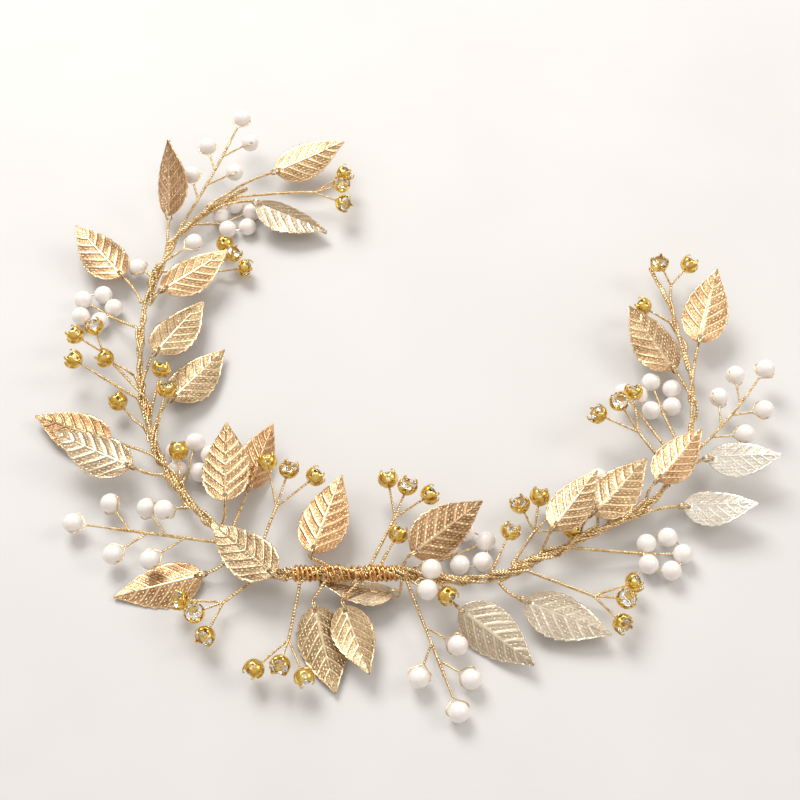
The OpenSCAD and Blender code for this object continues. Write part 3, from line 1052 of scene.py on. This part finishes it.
# %% [markdown]
# Cutting a stone and setting them all
#
# The stone is the hull of five rings of points and one last point below. A hull's flat faces
# are just the facets of a cut stone, so none is made by hand. The cup and the stone are both
# made once for each body, then copied to every place.

# %% Make the cups and stones

# The number of points of each ring, its radius, its height and its turn in degrees.
STONE_RINGS = [
    (8, 0.56, 0.66, 0),
    (8, 0.82, 0.50, 22.5),
    (16, 1.0, 0.27, 0),
    (16, 1.0, 0.21, 0),
    (8, 0.55, -0.20, 22.5),
]
STONE_POINT = -0.55


def cut_stone(radius):
    """Rings of points from the table down to the point, wrapped in flat facets."""
    mesh = bmesh.new()
    for count, out, height, turn in STONE_RINGS:
        move = Matrix.Translation((0, 0, height * radius))
        move @= Matrix.Rotation(math.radians(turn), 4, "Z")
        bmesh.ops.create_circle(mesh, segments=count, radius=out * radius, matrix=move)
    bmesh.ops.create_vert(mesh, co=(0, 0, STONE_POINT * radius))
    bmesh.ops.delete(mesh, geom=mesh.edges[:], context="EDGES_FACES")
    bmesh.ops.convex_hull(mesh, input=mesh.verts[:])
    bmesh.ops.dissolve_limit(mesh, angle_limit=math.radians(1), verts=mesh.verts, edges=mesh.edges)
    return mesh


def spread(shape, places, name):
    """One mesh with a copy of a shape at each place."""
    source = finished(shape, name + "_one")
    mesh = bmesh.new()
    for place in places:
        before = len(mesh.verts)
        mesh.from_mesh(source)
        mesh.verts.ensure_lookup_table()
        bmesh.ops.transform(mesh, matrix=place, verts=mesh.verts[before:])
    bpy.data.meshes.remove(source)
    return finished(mesh, name)


for body in SPINE_ORDER:
    stone_radius, cup_radius = cup_sizes[body]
    places = [place for place, _, _ in cups[body]]
    mesh = spread(claw_cup(cup_radius, stone_radius), places, body + "_claw_cups")
    shown(body + "_claw_cups", mesh, cup_gold, body, [body + "_cups"])
    stones = spread(cut_stone(stone_radius), places, body + "_stones")
    shown(body + "_stones", stones, crystal, body, [body + "_crystals"])
    stones.polygons.foreach_set("use_smooth", [False] * len(stones.polygons))
    print(body, "cup faces:", len(mesh.polygons), "stone faces:", len(stones.polygons))

# %% [markdown]
# Pearls
#
# A pearl is a ball of glass or resin with a hole right through it, dipped in lacquer. Its
# CAD solid gives its middle. The wire solid that reaches into it tells which kind it is: a
# ring that holds five pearls is a rosette, and a twig that holds one is part of a spray.

# %% Sort the pearls


def pearls_of(body):
    """(pearl middles, pearl radius, which twig solid holds each, the twig solids)."""
    twigs = wire_solids(body + "_twigs")
    middles, holders = [], []
    for points in point_sets(body + "_pearls"):
        middle = (points.min(axis=0) + points.max(axis=0)) / 2
        gaps = [np.linalg.norm(solid - middle, axis=1).min() for solid, _ in twigs]
        middles.append(Vector(middle))
        holders.append(int(np.argmin(gaps)))
        radius = (points.max(axis=0) - points.min(axis=0)).max() / 2
    return middles, radius, holders, twigs


def nearest_stem_point(body, point, direction):
    """The stem point that a twig leaves, looking back along the twig from one of its points."""
    best = None
    for index, line in stems[body]:
        for i, q in enumerate(line):
            back = (point - q).dot(direction)
            if back < 0.2 * MM:
                continue
            off = ((point - q) - direction * back).length
            score = off + 0.02 * back
            if best is None or score < best[0]:
                best = (score, line, i)
    return best[1], best[2]


def joined_twig(body, point, direction):
    """A smooth line that leaves its stem and ends at a point, in a direction."""
    line, i = nearest_stem_point(body, point, direction)
    start = line[i]
    back = [line[max(0, i - 6)], line[max(0, i - 3)]] if i >= 3 else [line[0]]
    return smooth([*back, start, start + (point - start) * 0.35, point], TWIST_STEP)


pearls = {body: pearls_of(body) for body in SPINE_ORDER}
print("pearls:", {body: len(found[0]) for body, found in pearls.items()})

# %% [markdown]
# Stringing the pearls
#
# A spray's twig splits before its pearl: one strand goes round each side and into the hole.
# In a rosette one wire runs through all five pearls in a ring, and a second crosses it from
# the stem. Each pearl is a sphere whose two poles are pushed in where the wire enters.

# %% The pearls' wires

TWIG_STRAND = 0.17 * MM
TWIG_PITCH = 1.4 * MM
RING_WIRE = 0.22 * MM
DIMPLE = 0.72


def bored_ball(radius):
    """A ball with a dimple at each pole of its own X axis."""
    mesh = bmesh.new()
    turn = Matrix.Rotation(math.radians(90), 4, "Y")
    bmesh.ops.create_uvsphere(mesh, u_segments=28, v_segments=22, radius=radius, matrix=turn)
    for vert in mesh.verts:
        if abs(vert.co.x) > 0.9999 * radius:
            vert.co.x *= DIMPLE
    return mesh


def facing(middle, x, y):
    """A frame at a point with its X axis along x and its Y axis towards y."""
    x = x.normalized()
    y = (y - x * y.dot(x)).normalized()
    place = Matrix((x, y, x.cross(y))).transposed().to_4x4()
    place.translation = middle
    return place


def twisted_pair(line):
    """Two thin strands twisted round a line."""
    pair = wound(line, 2, TWIG_STRAND, TWIG_PITCH, phase=draw.uniform(0, 6), loose=0.15)
    return [(strand, TWIG_STRAND) for strand in pair]


def spray_pearl(body, middle, radius, points):
    """Wires of one pearl on its own twig, and the pearl's frame."""
    far = np.linalg.norm(points - np.array(middle), axis=1)
    start = Vector(points[far > far.max() - 0.35 * MM].mean(axis=0))
    along = (middle - start).normalized()
    spots = points - np.array(start)
    flat = spots - np.outer(spots @ np.array(along), along)
    across = Vector(np.linalg.svd(flat, full_matrices=False)[2][0])
    across = (across - along * across.dot(along)).normalized()
    neck = middle - along * (radius + 0.9 * MM)
    lines = twisted_pair(joined_twig(body, neck, along))
    for side in (1, -1):
        loop = [
            neck - along * 0.3 * MM,
            neck + across * side * 0.55 * MM + along * 0.35 * MM,
            middle - along * 0.62 * radius + across * side * 0.98 * radius,
            middle + across * side * (radius + 0.18 * MM) - along * 0.1 * radius,
            middle + across * side * 0.8 * radius,
        ]
        lines.append((smooth(loop, 0.25 * MM), TWIG_STRAND))
    return lines, facing(middle, across, along)


def rosette(body, middles, radius):
    """Wires of five pearls on a ring, and the pearls' frames."""
    centre = sum(middles, Vector()) / len(middles)
    spokes = np.array([m - centre for m in middles])
    normal = Vector(np.linalg.svd(spokes, full_matrices=False)[2][2])
    ring_radius = (middles[0] - centre).length
    x = (middles[0] - centre).normalized()
    y = normal.cross(x)
    ring = [
        centre + (x * math.cos(a) + y * math.sin(a)) * ring_radius
        for a in np.linspace(0, math.tau, 49)
    ]
    ends = [line[-1] for _, line in stems[body]]
    stem_end = min(ends, key=lambda e: (e - centre).length)
    inwards = (centre - stem_end).normalized()
    far = max(middles, key=lambda m: (m - stem_end).length)
    cross = smooth([stem_end - inwards * 0.6 * MM, stem_end, centre, far], 0.3 * MM)
    lines = [(ring, RING_WIRE), *twisted_pair(cross)]
    places = [facing(m, normal.cross(m - centre), m - centre) for m in middles]
    return lines, places


ball = bored_ball(1.0)
print("faces of a pearl:", len(ball.faces))
ball.free()

# %% [markdown]
# Stringing them all
#
# Each body's pearls are taken by the wire that holds them. The wires are kept for the next
# step, where they join the other thin wires of the body, and the beads make one mesh.

# %% Make the pearls

twig_lines = {body: [] for body in SPINE_ORDER}
for body in SPINE_ORDER:
    middles, radius, holders, twigs = pearls[body]
    places = []
    for k in sorted(set(holders)):
        held = [m for m, h in zip(middles, holders) if h == k]
        if len(held) >= 5:
            lines, found = rosette(body, held, radius)
        else:
            lines, place = spray_pearl(body, held[0], radius, twigs[k][0])
            found = [place]
        twig_lines[body] += lines
        places += found
    mesh = spread(bored_ball(radius), places, body + "_beads")
    shown(body + "_beads", mesh, pearl, body, [body + "_pearls"])
    print(body, "beads:", len(places), "of", len(middles))

# %% [markdown]
# Twigs to the cups and loops through the leaves
#
# A cup's twig comes in at the bottom of its bowl and aims at its centre. A leaf hangs by a
# doubled loop of the same wire that passes through its eye. They join the pearls' wires in
# one mesh for each body, which stands for all the CAD twigs of that body.

# %% Make the twigs and loops


def cup_twig(body, place):
    """Wires of the twig that holds one cup."""
    centre = place.translation
    ends = [end for _, found in pearls[body][3] for end in found]
    tip, _ = min(ends, key=lambda end: (end[0] - centre).length)
    along = (centre - tip).normalized()
    return twisted_pair(joined_twig(body, tip + along * 0.3 * MM, along))


def eye_loops(body, node):
    """Two thin rings through the leaf's eye and round its base, and the stem's last stretch."""
    place = leaf_frames[node][0]
    near = place @ Vector((-EYE_INSET, 0, -SHEET / 2))
    end = min((line[-1] for _, line in stems[body]), key=lambda e: (e - near).length)
    lines = twisted_pair(smooth([end - (near - end) / 3, end, near], TWIST_STEP))
    for side in (-1, 1):
        ring = []
        for a in np.linspace(0, math.tau, 26):
            x, z = -EYE_INSET * math.cos(a), -SHEET / 2 + 0.8 * EYE_INSET * math.sin(a)
            y = side * TWIG_STRAND * 1.1 * (1 + 0.4 * math.sin(a))
            ring.append(place @ Vector((x, y, z)))
        lines.append((ring, TWIG_STRAND))
    return lines


for body in SPINE_ORDER:
    lines = twig_lines[body]
    for place, _, _ in cups[body]:
        lines += cup_twig(body, place)
    for node in bodies[body]:
        if node in leaf_frames:
            lines += eye_loops(body, node)
    mesh = wires(body + "_twig_wires", lines)
    shown(body + "_twig_wires", mesh, wire_gold, body, [body + "_twigs"])
    print(body, "twig faces:", len(mesh.polygons))

# %% [markdown]
# The floor
#
# The vine lies on a plain pale surface, which is only the ground of the picture. One big
# square is enough, with a rough finish that hides no shadow and shows no reflection.

# %% Make the floor

floor_mesh = bmesh.new()
bmesh.ops.create_grid(floor_mesh, x_segments=1, y_segments=1, size=1.5)
floor_data = finished(floor_mesh, "studio_floor")
floor_finish, tree, shader, place = material("pale_floor")
plate = use(tree, plating, Place=place, Patch_Scale=20.0, Grain_Scale=900.0)
pale = blended(tree, plate.outputs["Patches"], (0.69, 0.686, 0.678, 1), (0.72, 0.717, 0.71, 1))
fed(tree, shader, {"Base Color": pale, "Roughness": 0.9})
floor = shown("studio_floor", floor_data, floor_finish)
print("floor:", [round(side, 1) for side in floor.dimensions], "m")

# %% [markdown]
# Light and camera
#
# The light is soft and very bright. A large soft lamp behind the vine gives the long
# highlights on the leaves and the faint shadows in front, a small one warms the right side,
# and a pale surround fills the rest. A surround that is darker low down gives the metal
# something to reflect besides white. The camera looks down at the vine from the front.

# %% Light and camera

world = bpy.data.worlds.new("studio_surround")
bpy.context.scene.world = world
world.use_nodes = True
tree = world.node_tree
around = tree.nodes.new("ShaderNodeTexCoord").outputs["Generated"]
up = node_in(tree, "SeparateXYZ", {0: around}).outputs["Z"]
height = node_in(tree, "MapRange", {"Value": up, "From Min": -0.1, "From Max": 0.9})
surround = blended(tree, height.outputs[0], (0.46, 0.38, 0.32, 1), (1.0, 0.96, 0.92, 1))
fed(tree, tree.nodes["Background"], {"Color": surround, "Strength": 0.78})

LAMP_TARGET = (0, 0.05, 0)
CAMERA_TILT = 34


def softbox(name, place, size, power, colour):
    """A round soft lamp that faces the vine."""
    lamp = bpy.data.lights.new(name, "AREA")
    lamp.shape, lamp.size, lamp.energy, lamp.color = "DISK", size, power, colour
    holder = linked(name, lamp)
    holder.location = place
    aim = Vector(LAMP_TARGET) - Vector(place)
    holder.rotation_euler = aim.to_track_quat("-Z", "Y").to_euler()


softbox("back_softbox", (-0.25, 0.55, 0.65), 0.5, 5.3, (1.0, 0.995, 0.975))
softbox("side_softbox", (0.6, 0.1, 0.5), 0.35, 1.15, (1.0, 0.95, 0.9))

camera = linked("camera", bpy.data.cameras.new("camera"))
camera.location = (0.01344, -0.16204, 0.3215)
camera.rotation_euler = (math.radians(CAMERA_TILT), 0, 0)
camera.data.sensor_width = 36
camera.data.lens = 65.25
camera.data.clip_start = 0.01
bpy.context.scene.camera = camera
bpy.context.scene.view_settings.view_transform = "Standard"
print("camera:", [round(x, 2) for x in camera.location], "m, tilted", CAMERA_TILT, "degrees")
